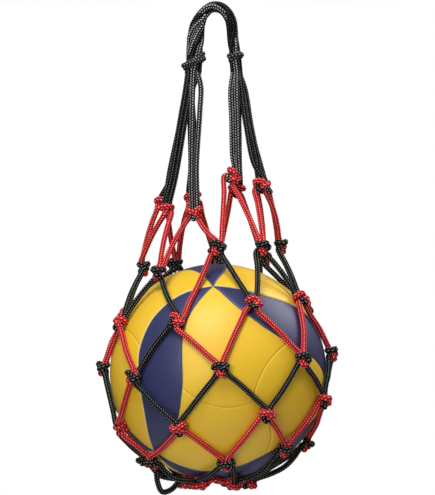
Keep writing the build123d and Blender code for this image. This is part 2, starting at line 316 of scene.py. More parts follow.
# ------------------------ curves
def spline(points, closed=False):
    """A smooth curve through the points, evenly sampled at about STEP, and the sample of each."""
    p = np.asarray(points, float)
    if closed:
        p = np.concatenate([p[-1:], p, p[:2]])
    else:
        p = np.concatenate([[2 * p[0] - p[1]], p, [2 * p[-1] - p[-2]]])
    knots = np.sqrt(np.linalg.norm(np.diff(p, axis=0), axis=1))
    t1 = knots[:-2, None, None]
    t2 = t1 + knots[1:-1, None, None]
    t3 = t2 + knots[2:, None, None]
    t = t1 + (t2 - t1) * np.linspace(0, 1, FINE_STEPS, endpoint=False)[None, :, None]
    p0, p1, p2, p3 = (p[i:len(p) - 3 + i, None, :] for i in range(4))
    a1 = ((t1 - t) * p0 + t * p1) / t1
    a2 = ((t2 - t) * p1 + (t - t1) * p2) / (t2 - t1)
    a3 = ((t3 - t) * p2 + (t - t2) * p3) / (t3 - t2)
    b1 = ((t2 - t) * a1 + t * a2) / t2
    b2 = ((t3 - t) * a2 + (t - t1) * a3) / (t3 - t1)
    fine = (((t2 - t) * b1 + (t - t1) * b2) / (t2 - t1)).reshape(-1, 3)
    fine = np.concatenate([fine, p[-2:-1]])
    reach = np.concatenate([[0], np.cumsum(np.linalg.norm(np.diff(fine, axis=0), axis=1))])
    count = max(4, int(round(reach[-1] / STEP)))
    even = np.linspace(0, reach[-1], count + 1)
    samples = np.stack([np.interp(even, reach, fine[:, k]) for k in range(3)], axis=1)
    places = np.round(reach[::FINE_STEPS] / reach[-1] * count).astype(int)
    if closed:
        samples = samples[:-1]
    return samples, places


def soften(samples, times, closed):
    """Rounds off a sampled curve a little."""
    for _ in range(times):
        if closed:
            samples = (np.roll(samples, 1, 0) + 2 * samples + np.roll(samples, -1, 0)) / 4
        else:
            inner = (samples[:-2] + 2 * samples[1:-1] + samples[2:]) / 4
            samples = np.concatenate([samples[:1], inner, samples[-1:]])
    return samples


def frames(samples, closed):
    """For each sample two directions square to the curve, carried along it without twisting."""
    if closed:
        way = unit(np.roll(samples, -1, 0) - np.roll(samples, 1, 0))
    else:
        way = unit(np.gradient(samples, axis=0))
    start = np.cross(way[0], [0.3, 0.2, 1.0])
    side = np.empty_like(samples)
    side[0] = start / np.linalg.norm(start)
    for i in range(1, len(samples)):
        carried = side[i - 1] - way[i] * (side[i - 1] @ way[i])
        side[i] = carried / math.sqrt(carried @ carried)
    return side, np.cross(way, side)


class Rope:
    """A braided cord along a curve. Pieces are cut from it, so that their braids meet."""

    def __init__(self, points, closed=False, radius=CORD_R):
        samples, self.places = spline(points, closed)
        self.closed = closed
        self.samples = soften(samples, ROPE_ROUNDING, closed)
        self.side, self.up = frames(self.samples, closed)
        self.radius = np.full(len(self.samples), float(radius))

    def swell(self, first, last):
        """Makes a closed cord thicker between two samples, where a knot crowds its strands."""
        for i in range(first - SWELL_FADE, last + SWELL_FADE + 1):
            share = 1 - max(first - i, i - last, 0) / (SWELL_FADE + 1)
            k = i % len(self.samples)
            self.radius[k] = max(self.radius[k], CORD_R + (KNOT_CORD_R - CORD_R) * share)

    def keep_off_ball(self):
        """Moves the cord out to where it clears the ball."""
        arm = self.samples - BALL_CENTRE
        reach = np.linalg.norm(arm, axis=1, keepdims=True)
        least = BALL_R + LEAST_GAP + self.radius[:, None]
        self.samples = BALL_CENTRE + arm / reach * np.maximum(reach, least)
        self.side, self.up = frames(self.samples, self.closed)


def stitches(around, along):
    """Height of the braid, 0 in its grooves and 1 on its crowns, at turns round and stitches along."""
    column = around * COLUMNS
    across = (column % 1) * 2 - 1
    odd = np.floor(column + 1e-6) % 2
    place = ((along + (1 - 2 * odd) * across * LEAN + 0.5 * odd) % 1) * 2 - 1
    rounding = np.sqrt(np.clip(1 - across**2, 0, 1))
    return rounding * np.cos(place * math.pi / 2) ** 0.8


def tube(rope, first, last):
    """Vertices, faces and UVs of the stretch of a rope from one sample to another."""
    index = np.arange(first, last + 1)
    k = index % len(rope.samples) if rope.closed else index
    turns = np.arange(ROUND_STEPS) / ROUND_STEPS
    height = stitches(turns[None, :], (index * STEP / STITCH)[:, None])
    reach = rope.radius[k][:, None] * (1 - GROOVE + GROOVE * height)
    angle = turns * 2 * math.pi
    ring = (
        rope.side[k][:, None, :] * np.cos(angle)[None, :, None]
        + rope.up[k][:, None, :] * np.sin(angle)[None, :, None]
    )
    centres = rope.samples[k]
    vertices = centres[:, None, :] + ring * reach[:, :, None]
    way = unit(np.gradient(centres, axis=0))
    caps = []
    for end, sign in ((0, -1), (-1, 1)):
        r = rope.radius[k][end]
        shoulder = centres[end] + ring[end] * r * CAP_R + way[end] * sign * r * CAP_RISE
        tip = centres[end] + way[end] * sign * r * CAP_R
        caps.append((shoulder, tip[None, :]))
    points = np.concatenate([
        caps[0][1], caps[0][0], vertices.reshape(-1, 3), caps[1][0], caps[1][1],
    ])
    rows = len(index) + 2
    i, j = np.meshgrid(np.arange(rows - 1), np.arange(ROUND_STEPS), indexing="ij")
    nxt = (j + 1) % ROUND_STEPS
    at = 1 + i * ROUND_STEPS
    quads = np.stack([at + j, at + nxt, at + ROUND_STEPS + nxt, at + ROUND_STEPS + j], -1)
    u = np.stack([j, j + 1, j + 1, j], -1) / ROUND_STEPS
    v = (np.stack([i, i, i + 1, i + 1], -1) + first - 1) * STEP / STITCH
    around = np.arange(ROUND_STEPS)
    around_next = (around + 1) % ROUND_STEPS
    tip = len(points) - 1
    last_ring = 1 + (rows - 1) * ROUND_STEPS
    start_fan = np.stack([np.zeros_like(around), 1 + around_next, 1 + around], -1)
    end_fan = np.stack([np.full_like(around, tip), last_ring + around, last_ring + around_next], -1)
    fans = np.concatenate([start_fan, end_fan])
    return points, quads.reshape(-1, 4), np.stack([u, v], -1).reshape(-1, 2), fans


class Cord:
    """A colour of cord: its slot, its material, and how strongly the painted highlights on its
    stitches show in the net.
    """

    def __init__(self, slot, shine, *looks):
        self.slot, self.shine = slot, shine
        self.material = cord_material(slot, *looks)


def rope_piece(node, stretches, cord, shine):
    """One mesh of the listed stretches, each (rope, first sample, last sample), for a CAD node."""
    name = node + "_cord"
    points, quads, uvs, fans = [], [], [], []
    base = 0
    for stretch in stretches:
        p, q, uv, f = tube(*stretch)
        points.append(p)
        quads.append(q + base)
        uvs.append(uv)
        fans.append(f + base)
        base += len(p)
    quads, fans = np.concatenate(quads), np.concatenate(fans)
    corners = np.concatenate([quads.ravel(), fans.ravel()])
    mesh = bpy.data.meshes.new(name)
    mesh.vertices.add(base)
    mesh.vertices.foreach_set("co", mm(np.concatenate(points)).ravel())
    mesh.loops.add(len(corners))
    mesh.loops.foreach_set("vertex_index", corners)
    mesh.polygons.add(len(quads) + len(fans))
    starts = np.concatenate([
        np.arange(len(quads)) * 4, len(quads) * 4 + np.arange(len(fans)) * 3,
    ])
    mesh.polygons.foreach_set("loop_start", starts)
    mesh.update(calc_edges=True)
    mesh.shade_smooth()
    layer = mesh.uv_layers.new(name="braid")
    flat = np.concatenate([np.concatenate(uvs), np.zeros((fans.size, 2))])
    layer.data.foreach_set("uv", flat.ravel())
    # The strength of the painted highlights on this piece's stitches.
    mesh.attributes.new("shine", "FLOAT", "POINT").data.foreach_set("value", np.full(base, shine))
    mesh.materials.append(cord.material)
    piece = add_object(name, mesh)
    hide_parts(node)
    return piece


# ------------------------ knots
# A sheet bend seen from outside, in millimetres: (right, up, out). The cord above comes down,
# turns under and goes up again, and its bend shows as a nub. The cord below comes from the lower
# left, goes up through that bight and over its right side, round its neck and across its front,
# and leaves at the lower right. Its last pass makes the arch over the nub.
BIGHT = [
    (-2.7, 5.6, -1.8), (-2.4, 2.2, -0.6), (-2.3, -0.8, 0.7), (-2.0, -3.4, 1.6), (-1.1, -5.0, 2.0),
    (0.0, -5.6, 2.1), (1.1, -5.0, 2.0), (2.0, -3.4, 1.6), (2.3, -0.8, 0.7), (2.4, 2.2, -0.6),
    (2.7, 5.6, -1.8),
]
ARCHED = [
    (-5.0, -5.6, -3.0), (-2.8, -2.9, -2.9), (-0.2, -0.9, -1.2), (1.0, -0.5, 1.6), (3.2, -0.5, 3.8),
    (5.5, 0.8, 3.4), (6.4, 2.4, 0.6), (4.4, 3.4, -2.6), (0.0, 3.7, -3.7), (-4.4, 3.2, -2.6),
    (-6.2, 2.3, 0.2), (-5.0, 2.6, 3.1), (-2.4, 4.0, 4.2), (0.6, 4.0, 4.2), (3.2, 2.1, 2.9),
    (4.9, -0.6, 1.2), (5.2, -4.2, -0.8),
]
CROSSED = [
    (-5.0, -5.6, -3.0), (-2.9, -3.2, -2.8), (-0.5, -1.4, -1.2), (0.2, 0.2, 2.0), (1.6, 2.1, 4.5),
    (4.2, 4.1, 3.8), (5.9, 4.4, 0.6), (4.0, 3.9, -2.8), (0.0, 3.3, -3.8), (-4.2, 2.7, -2.8),
    (-6.0, 1.8, 0.4), (-4.5, 1.2, 3.5), (-0.9, 0.3, 3.0), (3.2, -1.1, 3.3), (4.9, -3.0, 0.8),
    (5.2, -5.2, -1.4),
]
# Knots that are drawn up the second way, and knots that lie with their other side out.
CROSSED_KNOTS = {("a", 1), ("b", 1), ("c", 0), ("e", 0), ("e", 1)}
REVERSED_KNOTS = {("a", 0), ("b", 0), ("e", 0)}
# How far some knots are turned, in degrees against the clock seen from outside.
KNOT_ROLLS = {
    ("a", 0): 4, ("a", 1): -6, ("a", 2): -48, ("a", 3): -12, ("b", 1): -18, ("b", 2): -16,
    ("b", 3): -6, ("c", 0): 0, ("c", 1): -32, ("c", 2): -24, ("c", 3): -22, ("d", 0): -10,
    ("d", 1): -22, ("d", 2): 6, ("d", 3): -10, ("d", 4): -12, ("e", 1): 4, ("e", 2): -6,
    ("e", 3): -16, ("f", 1): 0, ("f", 2): 12,
}
ROLL_LOW, ROLL_HIGH = -14, 8  # the others are turned between these
BACK_OUT = (0.8, 1, -1)  # a reversed knot is mirrored in its depth, and a little narrower
RESTING_DROP = 0.6  # a knot is pressed this far towards the ball that it rests on


def on_ball(places):
    """Middles of knots that rest on the ball."""
    knots = []
    for azimuth, height in places:
        ring = math.sqrt(KNOT_SHELL**2 - height**2)
        a = math.radians(azimuth)
        knots.append(BALL_CENTRE + np.array([ring * math.sin(a), -ring * math.cos(a), height]))
    return knots


class Knot:
    """Where a knot is, and which way it faces."""

    def __init__(self, place, facing=None, roll=0.0, crossed=False, back_out=False):
        self.place = np.array(place, float)
        self.hitch = CROSSED if crossed else ARCHED
        self.back_out = back_out
        arm = self.place - BALL_CENTRE
        self.rests = np.linalg.norm(arm) < KNOT_SHELL + 1
        if facing is None:
            facing = arm if self.rests else np.array([arm[0], arm[1], 0.0])
        self.out = unit(np.array(facing, float))
        right = unit(np.cross([0, 0, 1], self.out))
        up = np.cross(self.out, right)
        turn = math.radians(roll)
        self.right = right * math.cos(turn) + up * math.sin(turn)
        self.up = up * math.cos(turn) - right * math.sin(turn)

    def points(self, template, jitter=0.2):
        shake = random.normal(0, jitter, (len(template), 3))
        local = np.array(template) + shake
        if self.back_out:
            local *= BACK_OUT
        local[:, 2] -= RESTING_DROP if self.rests else 0
        axes = np.stack([self.right, self.up, self.out])
        return self.place + local @ axes


def knot_rows():
    """All knots, row by row, each turned a little its own way."""
    g_height = -math.sqrt(KNOT_SHELL**2 - BOTTOM_ROW_R**2)
    places = {
        "a": ROW_A, "b": ROW_B, "c": on_ball(ROW_C), "d": on_ball(ROW_D), "e": on_ball(ROW_E),
        "f": on_ball(ROW_F), "g": on_ball([(azimuth, g_height) for azimuth in ROW_G_AZIMUTHS]),
    }
    rows = {}
    for letter, row in places.items():
        rows[letter] = []
        for k, place in enumerate(row):
            facing = ((0, -1, 0) if k < 4 else (0, 1, 0)) if letter == "a" else None
            roll = KNOT_ROLLS.get((letter, k), random.uniform(ROLL_LOW, ROLL_HIGH))
            name = (letter, k)
            knot = Knot(place, facing, roll, name in CROSSED_KNOTS, name in REVERSED_KNOTS)
            rows[letter].append(knot)
    return rows


# ------------------------ net
TUCKED = 4  # samples that a course's cord runs on past its bight, where the other cord takes over


def leg_points(start, end, bow, slack=(0.0, 0.0)):
    """Points of a leg between two knots, resting on the ball where it is in the way. A slack leg
    stands off the ball and sags."""
    lift, sag = slack
    middle = []
    wander = random.normal(0, 0.5, 3)
    for share in (0.25, 0.5, 0.75):
        point = start + (end - start) * share
        swell = math.sin(share * math.pi)
        level = unit(np.array([point[0] - BALL_CENTRE[0], point[1], 0.0]))
        point = point + level * bow * swell + wander * swell
        arm = point - BALL_CENTRE
        reach = np.linalg.norm(arm)
        least = CORD_SHELL + lift * swell
        point = BALL_CENTRE + arm / reach * max(reach, least)
        middle.append(point - np.array([0, 0, sag * swell]))
    return middle


def course_rope(upper, lower, shift, bow, slacks):
    """The closed round of one course's cord, and the samples where each bight and hitch is."""
    taut = (0.0, 0.0)
    bights = [knot.points(BIGHT) for knot in lower]
    hitches = [knot.points(knot.hitch) for knot in upper]
    points, marks = [], []
    for k in range(8):
        above = (k + shift + 1) % 8
        marks.append((("bight", k), len(points), len(points) + len(bights[k]) - 1))
        points += list(bights[k])
        points += leg_points(bights[k][-1], hitches[above][0], bow, slacks.get((k, 1), taut))
        marks.append((("hitch", above), len(points), len(points) + len(hitches[above]) - 1))
        points += list(hitches[above])
        following = (k + 1) % 8
        points += leg_points(
            hitches[above][-1], bights[following][0], bow, slacks.get((following, -1), taut),
        )
    rope = Rope(points, closed=True)
    spans = {}
    for knot, first, last in marks:
        spans[knot] = (rope.places[first], rope.places[last])
        rope.swell(*spans[knot])
    rope.keep_off_ball()
    return rope, spans


def course_stretches(rope, spans, shift, carried=None):
    """The course without its hitches, which belong to the knots: from each hitch to the next.
    carried is (lower knot, side) of a leg that the other cord replaces."""
    stretches = []
    count = len(rope.samples)
    for k in range(8):
        before, after = (k + shift) % 8, (k + shift + 1) % 8
        first, last = spans["hitch", before][1], spans["hitch", after][0]
        bight_first, bight_last = spans["bight", k]
        if last < first:
            first -= count
        if carried == (k, -1):
            first = bight_first - TUCKED
        if carried == (k, 1):
            last = bight_last + TUCKED
        stretches.append((rope, first, last))
    return stretches


def hitch_stretches(rope, spans):
    """The parts of a course's cord that wrap round the bights above."""
    return [(rope, *spans["hitch", k]) for k in range(8)]


def carried_rope(upper, lower, side):
    """A single leg of the other colour, tucked into the knots at its ends."""
    leaving = [(0.0, 0.0, -1.0), (-side * 1.6, -3.4, -1.2), (-side * 3.4, -6.8, -2.4)]
    coming = [(side * 2.7, 5.6, -1.8), (side * 2.4, 2.2, -0.6), (side * 1.6, -0.5, 0.4)]
    start, end = upper.points(leaving, 0), lower.points(coming, 0)
    points = list(start) + leg_points(start[-1], end[0], 0) + list(end)
    rope = Rope(points)
    rope.keep_off_ball()
    return rope


def whole(rope):
    """The stretch that is all of a rope."""
    return (rope, 0, len(rope.samples) - 1)


# How far each leg of the lowest course, (lower knot, side), lifts off the ball and sags.
LOWEST_SLACKS = {
    (0, -1): (6, 1), (0, 1): (10, 12), (1, -1): (4, 3), (1, 1): (3, 0), (2, 1): (4, 1),
    (3, 1): (4, 0), (7, 1): (5, 0),
}


def make_net(knots, black, red):
    """Every course, its knots and its carried legs."""
    plan = [
        # name, upper row, lower row, shift, cord, bow, carried (lower knot, side), its name
        ("red_course_1", "a", "b", -1, red, 1.5, None, None),
        ("black_course_2", "b", "c", 0, black, 1.5, (1, 1), "red_carried_leg_2"),
        ("red_course_3", "c", "d", -1, red, 0.0, (1, 1), "black_carried_leg_3"),
        ("black_course_4", "d", "e", 0, black, 0.0, (0, 1), "red_carried_leg_4"),
        ("red_course_5", "e", "f", -1, red, 0.0, (0, 1), "black_carried_leg_5"),
        ("black_course_6", "f", "g", 0, black, 3.0, None, None),
    ]
    for name, high, low, shift, cord, bow, carried, carried_name in plan:
        slacks = LOWEST_SLACKS if low == "g" else {}
        rope, spans = course_rope(knots[high], knots[low], shift, bow, slacks)
        course = rope_piece(name, course_stretches(rope, spans, shift, carried), cord, cord.shine)
        hitches = rope_piece(f"knots_row_{high}", hitch_stretches(rope, spans), cord, cord.shine)
        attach(hitches, "collar" if high == "a" else "net")
        if high == "a":
            # Row a and row b both stand higher at the right, so the bend between them leans.
            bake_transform(course)
        else:
            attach(course, "net")
        if carried:
            k, side = carried
            other = black if cord is red else red
            above = knots[high][(k + shift + (1 if side == 1 else 0)) % 8]
            leg_rope = carried_rope(above, knots[low][k], side)
            leg = rope_piece(carried_name, [whole(leg_rope)], other, other.shine)
            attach(leg, "net")


# How far the ring's cord hangs out and up between two knots, round from the left.
RING_SAGS = [(5, 7), (7, 8), (6, 7), (3, 2), (-3, -1.5), (-3, -1.5), (-3, -1.5), (-2, -1.5)]


def make_bottom(knots, red):
    """The ring that the net starts from: red cord hitched to the eight lowest bights in turn."""
    hitches = [knot.points(knot.hitch) for knot in knots["g"]]
    points, marks = [], []
    for k in range(8):
        marks.append((len(points), len(points) + len(hitches[k]) - 1))
        points += list(hitches[k])
        joint = (hitches[k][-1] + hitches[(k + 1) % 8][0]) / 2
        outward = unit(joint * [1, 1, 0] - BALL_CENTRE * [1, 1, 0])
        out, up = RING_SAGS[k]
        points.append(joint + outward * out + np.array([0, 0, up]))
    rope = Rope(points, closed=True)
    spans = [(rope.places[first], rope.places[last]) for first, last in marks]
    for span in spans:
        rope.swell(*span)
    rope.keep_off_ball()
    count = len(rope.samples)
    links = [(rope, spans[k][1], spans[(k + 1) % 8][0] + (count if k == 7 else 0)) for k in range(8)]
    wraps = [(rope, *span) for span in spans]
    for node, stretches in (("bottom_ring", links), ("knots_row_g", wraps)):
        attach(rope_piece(node, stretches, red, red.shine), "net")


# ------------------------ handle
# The middle of the bundle of eight strands, up the left side, over the hand and down the right.
GRIP = [
    (-21.2, -58.0), (-19.8, -45.0), (-19.0, -30.0), (-17.4, -15.0), (-12.8, -3.2), (-6.0, 3.9),
    (1.0, 5.6), (7.6, 3.4), (13.0, -2.8), (16.0, -11.5), (17.4, -25.0), (18.9, -40.0), (21.0, -58.0),
]
# Places of the strands in the round bundle: (out of the loop, to the back).
ROUND = {
    "inner": [(-5.0, -5.0), (0.0, -5.6), (-5.6, 0.0), (-5.0, 5.0)],
    "outer": [(5.0, -5.0), (5.6, 0.0), (0.0, 5.6), (5.0, 5.0)],
}
# Half the bundle's size out of the loop and to the back, over the hand and where it is round.
FLAT_HALVES = (5.1, 10.8)
ROUND_HALVES = (7.9, 8.1)
# The bundle's twist: degrees, from one share of the grip to another.
LAY = [(250, 0.0, 0.62), (110, 0.50, 0.97)]
SPREAD = 0.35  # how much wider the strands lie over the hand, as a share
WANDER = 0.7  # how far a strand strays from its place


class Grip:
    """The bundle's middle line, with its directions out of the loop."""

    def __init__(self):
        line, _ = spline([(x, 0, z) for x, z in GRIP])
        self.line = soften(line, GRIP_ROUNDING, False)
        way = unit(np.gradient(self.line, axis=0))
        self.out = np.cross(way, [0.0, 1.0, 0.0])

    def at(self, share, out, back, ahead=0.0):
        """The point this far out of the loop, to the back and ahead, at a share of the length."""
        place = np.clip(share * (len(self.line) - 1) + ahead / STEP, 0, len(self.line) - 1)
        i = int(place)
        return self.line[i] + self.out[i] * out + np.array([0, back, 0])

    def section(self, share):
        """Half the bundle's size out of the loop and to the back."""
        rounded = self.rounded(share)
        return [flat + (full - flat) * rounded for flat, full in zip(FLAT_HALVES, ROUND_HALVES)]

    def rounded(self, share):
        """1 where the strands lie in a round bundle, 0 where they lie flat over the hand."""
        return float(1 - ease(0.25, 0.45, share) + 0.2 * ease(0.80, 0.92, share))


def strand_slot(grip, layer, number, share):
    """Where a strand runs at a share of the grip. The bundle is laid up once round in all, faster
    at the left, and is squashed where it passes over the hand."""
    out, back = ROUND[layer][number]
    turn = -math.radians(sum(degrees * float(ease(*span, share)) for degrees, *span in LAY))
    c, s = math.cos(turn), math.sin(turn)
    half_out, half_back = grip.section(share)
    limit_out, limit_back = half_out - CORD_R, half_back - CORD_R
    flat = 1 - grip.rounded(share)
    out, back = out * c - back * s, (out * s + back * c) * (1 + SPREAD * flat)
    wander = WANDER * math.sin(9 * share + 2.1 * number + (1.3 if layer == "inner" else 0.0))
    out = np.clip(out, -limit_out, limit_out) + wander
    return grip.at(share, out, np.clip(back, -limit_back, limit_back) + 0.6 * wander)


# Where the loose strands run between the lashings and their knots: (right, back, up).
LEGS = {
    "leg_a_front": [[(-28.5, -8, -75), (-34.6, -9, -110), (-42.8, -9.5, -160)],
                    [(-24.2, -7, -75), (-29.8, -8, -110), (-38.2, -8.5, -160)]],
    "leg_b_front": [[(-13.8, -6, -72), (-14.8, -9, -98), (-18.0, -9.5, -150)],
                    [(-21.6, -8, -72), (-22.4, -11, -110), (-23.2, -10, -165)]],
    "leg_c_front": [[(15.4, -9, -75), (16.3, -10, -105), (17.2, -9.5, -140)],
                    [(20.6, -10, -75), (21.5, -11, -105), (22.2, -9.5, -140)]],
    "leg_d_front": [[(26.2, -6, -78), (30.6, -8, -112), (38.2, -9, -148)],
                    [(28.8, -3, -74), (34.8, -6, -110), (42.2, -8, -148)]],
    "leg_a_back": [[(-26.8, 9, -75), (-32.0, 9, -110), (-41.0, 9, -158)],
                   [(-28.6, 6, -75), (-34.6, 7, -110), (-44.6, 8.5, -158)]],
    "leg_b_back": [[(-21.8, 10, -75), (-20.6, 10, -110), (-19.4, 9, -152)],
                   [(-25.0, 8, -75), (-24.2, 9, -110), (-23.6, 9, -152)]],
    "leg_c_back": [[(22.4, 9, -80), (23.2, 9, -112), (23.6, 9, -146)],
                   [(17.4, 8, -80), (18.2, 9, -112), (19.0, 9, -146)]],
    "leg_d_back": [[(29.6, 9, -78), (34.6, 9, -112), (43.0, 9, -144)],
                   [(25.6, 6, -78), (30.8, 8, -112), (39.2, 8.5, -144)]],
}
# How strongly the painted highlights on the stitches of each leg, of the strands by turns, and of the
# small cords show: higher on legs and strands meant to look lit, lower on those meant to look in
# shade.
LEG_SHINES = {
    "leg_a_front": 0.12, "leg_b_front": 0.42, "leg_c_front": 0.42, "leg_d_front": 0.13,
    "leg_a_back": 0.08, "leg_b_back": 0.1, "leg_c_back": 0.1, "leg_d_back": 0.12,
}
STRAND_SHINES = (0.05, 0.5)
LASHING_SHINE = 0.25
TAIL_SHINE = 0.2
# Each closed pair of strands: layer, its two slots, its left and right legs, and their knots.
PAIRS = [
    ("outer", (0, 1), "leg_a_front", "leg_d_front", 0, 3),
    ("inner", (0, 1), "leg_b_front", "leg_c_front", 1, 2),
    ("outer", (2, 3), "leg_a_back", "leg_d_back", 7, 4),
    ("inner", (2, 3), "leg_b_back", "leg_c_back", 6, 5),
]
GRIP_SHARES = np.linspace(0.0, 1.0, 26)


def bight_between(knot, first_leg, second_leg):
    """A handle bight's points, entered down the first leg and left up the second."""
    points = knot.points(BIGHT)
    if np.linalg.norm(points[0] - first_leg[-1]) > np.linalg.norm(points[0] - second_leg[-1]):
        points = points[::-1]
    return points


def make_handle(knots, grip, black):
    """The eight strands over the hand, and the eight legs with their bights."""
    for layer, slots, left_leg, right_leg, left_knot, right_knot in PAIRS:
        left = [np.array(strand, float) for strand in LEGS[left_leg]]
        right = [np.array(strand, float) for strand in LEGS[right_leg]]
        over = [[strand_slot(grip, layer, n, share) for share in GRIP_SHARES] for n in slots]
        left_bight = bight_between(knots["a"][left_knot], left[1], left[0])
        right_bight = bight_between(knots["a"][right_knot], right[0], right[1])
        points = list(over[0]) + list(right[0]) + list(right_bight) + list(right[1][::-1])
        there = len(over[0]) - 1
        back_start = len(points)
        points += list(over[1][::-1]) + list(left[1]) + list(left_bight) + list(left[0][::-1])
        rope = Rope(points, closed=True)
        back_end = back_start + there
        rope.keep_off_ball()
        cuts = [rope.places[i] for i in (0, there, back_start, back_end)]
        spans = [(cuts[0], cuts[1]), (cuts[2], cuts[3])]
        for n, span in zip(slots, spans):
            node = f"grip_strand_{layer}_{n + 1}"
            strand = rope_piece(node, [(rope, *span)], black, STRAND_SHINES[n % 2])
            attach(strand, "handle")
        leg_spans = ((right_leg, cuts[1], cuts[2]), (left_leg, cuts[3], len(rope.samples)))
        for node, first, last in leg_spans:
            leg = rope_piece(node, [(rope, first, last)], black, LEG_SHINES[node])
            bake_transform(leg)


# A lashing's turns: two laid side by side, and the last riding back over them.
TURNS, TURN_STEPS = 3, 12
LAID_SHARE = 0.66  # the part of its length that is laid before it rides over
LAID_WIDTH = 5.4
RIDING_RISE = 2.4
START_ANGLE = 2.2
SQUARENESS = 2.6  # of the bundle's outline: 2 is an ellipse
TILT_REACH = 7.0  # half the bundle's size at which a lashing's tilt is counted


def round_grip(grip, share, angle, stand_off, ahead):
    """A point round the bundle at an angle, this far off its surface."""
    half_out, half_back = grip.section(share)
    c, s = math.cos(angle), math.sin(angle)
    out = math.copysign(abs(c) ** (2 / SQUARENESS), c) * (half_out + stand_off)
    back = math.copysign(abs(s) ** (2 / SQUARENESS), s) * (half_back + stand_off)
    return grip.at(share, out, back, ahead)


def make_whipping(grip, name, share, tilt, stand_off, black):
    """A lashing round the grip. It leans by the tilt, and stands off the bundle's surface."""
    steps = TURNS * TURN_STEPS
    half_out, _ = grip.section(share)
    points = []
    for step in range(steps + 1):
        angle = -2 * math.pi * step / TURN_STEPS + START_ANGLE
        laid = min(step / steps / LAID_SHARE, 1.0)
        riding = max(step / steps - LAID_SHARE, 0) / (1 - LAID_SHARE)
        ahead = LAID_WIDTH * (laid - riding - 0.5) + tilt * math.cos(angle) * half_out / TILT_REACH
        off = stand_off + RIDING_RISE * math.sin(riding * math.pi)
        points.append(round_grip(grip, share, angle, off, ahead))
    rope = Rope(points, radius=WHIPPING_R)
    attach(rope_piece(name, [whole(rope)], black, LASHING_SHINE), "handle")


def make_tail(knots, black):
    """The handle cord's cut end, sticking out of the right front knot."""
    route = [(0, 1, -1), (2.8, -2.4, 0.2), (6.0, -4.4, -2.4), (9.2, -5.4, -7.0)]
    rope = Rope(knots["a"][3].place + np.array(route), radius=TAIL_R)
    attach(rope_piece("cord_tail", [whole(rope)], black, TAIL_SHINE), "collar")


# ------------------------ ball
# Where three blue panels meet at the front, and how the star that they make is turned.
STAR_AZIMUTH, STAR_ELEVATION, STAR_TURN = math.radians(-4.5), math.radians(53.7), -35.8
VALVE_PAIR = (0, 3)  # the blue panel at the back of the top holds the valve
VALVE_R = 5.0
# How deep a panel dips at a coloured border, at a seam of one colour and all round its edge, and
# how far from the seam that reaches.
BORDER_DIP, BORDER_REACH = 0.95, 0.9
SPLIT_DIP, SPLIT_REACH = 0.45, 0.7
EDGE_DIP, EDGE_REACH = 0.3, 4.0
CROWDING = 0.11  # how much closer a panel's grid is at its edges
# A blue panel's border, in degrees along the tetrahedron's edge from its middle and to the side.
BORDER = [
    (-54.74, 0), (-50, -4), (-44, -9.3), (-37, -13.5), (-30, -16), (-22, -17.8), (-12, -17.6),
    (-2, -15.8), (8, -11.5), (18, -6.5), (28, -2.8), (38, -1.2), (48, -0.4), (54.74, 0),
]
SPLIT_AT = 13 / 28  # where along a border a yellow panel's seam begins
SPLIT_TURN = 34.0  # a seam bends round by this many degrees on its way


def star_corners():
    """The tetrahedron's corners that set out the ball's colours, as in the CAD."""
    right = np.array([math.cos(STAR_AZIMUTH), math.sin(STAR_AZIMUTH), 0])
    star = np.array([
        math.sin(STAR_AZIMUTH) * math.cos(STAR_ELEVATION),
        -math.cos(STAR_AZIMUTH) * math.cos(STAR_ELEVATION),
        math.sin(STAR_ELEVATION),
    ])
    down = np.cross(right, star)
    corners = [star]
    for step in (0, 120, 240):
        a = math.radians(STAR_TURN + step)
        arm = down * math.cos(a) + right * math.sin(a)
        corners.append(star * (-1 / 3) + arm * (2 * math.sqrt(2) / 3))
    return np.array(corners)


def border_between(corners, i, j, steps=56):
    """Directions from corner i to corner j along the border that bulges out first."""
    middle = unit(corners[i] + corners[j])
    along = unit(corners[j] - corners[i])
    side = np.cross(middle, along)
    line, _ = spline([(ahead, aside, 0.0) for ahead, aside in BORDER])
    place = np.radians(line[np.round(np.linspace(0, len(line) - 1, steps + 1)).astype(int)])
    ahead, aside = place[:, :1], place[:, 1:2]
    return (middle * np.cos(ahead) + along * np.sin(ahead)) * np.cos(aside) + side * np.sin(aside)


def split_to_face_middle(start, face_middle, steps=28):
    """Directions along the curved seam from a border to where three yellow panels meet."""
    reach = math.acos(start @ face_middle)
    way = unit(start - face_middle * (start @ face_middle))
    across = np.cross(face_middle, way)
    share = np.linspace(0, 1, steps + 1)[:, None]
    turn, left = math.radians(SPLIT_TURN) * share, reach * (1 - share)
    arm = way * np.cos(turn) + across * np.sin(turn)
    return face_middle * np.cos(left) + arm * np.sin(left)


def resample(line, shares):
    """The points of a line of directions at the given shares of its length."""
    places = np.linspace(0, 1, len(line))
    return np.stack([np.interp(shares, places, line[:, k]) for k in range(3)], axis=1)


def crowded(steps):
    """Shares from 0 to 1, closer together near both ends."""
    even = np.linspace(0, 1, steps + 1)
    return even - CROWDING * np.sin(2 * math.pi * even)


def patch(bottom, top, left, right, across, along):
    """A grid of directions filling the outline of four lines. bottom and top run the same way,
    and so do left and right, which join the ends of the other two."""
    s, t = crowded(along), crowded(across)
    low, high = resample(bottom, s), resample(top, s)
    start, end = resample(left, t), resample(right, t)
    s, t = s[None, :, None], t[:, None, None]
    grid = low[None] * (1 - t) + high[None] * t + start[:, None] * (1 - s) + end[:, None] * s
    grid = grid - (
        low[0] * (1 - s) * (1 - t) + low[-1] * s * (1 - t) + high[0] * (1 - s) * t + high[-1] * s * t
    )
    return unit(grid)


def blue_patch(corners, i, j):
    """A blue panel's grid, and the lines of its seams."""
    out, back = border_between(corners, i, j), border_between(corners, j, i)[::-1]
    grid = patch(out, back, corners[i][None].repeat(2, 0), corners[j][None].repeat(2, 0), 60, 130)
    return grid, np.concatenate([out, back]), np.zeros((0, 3))


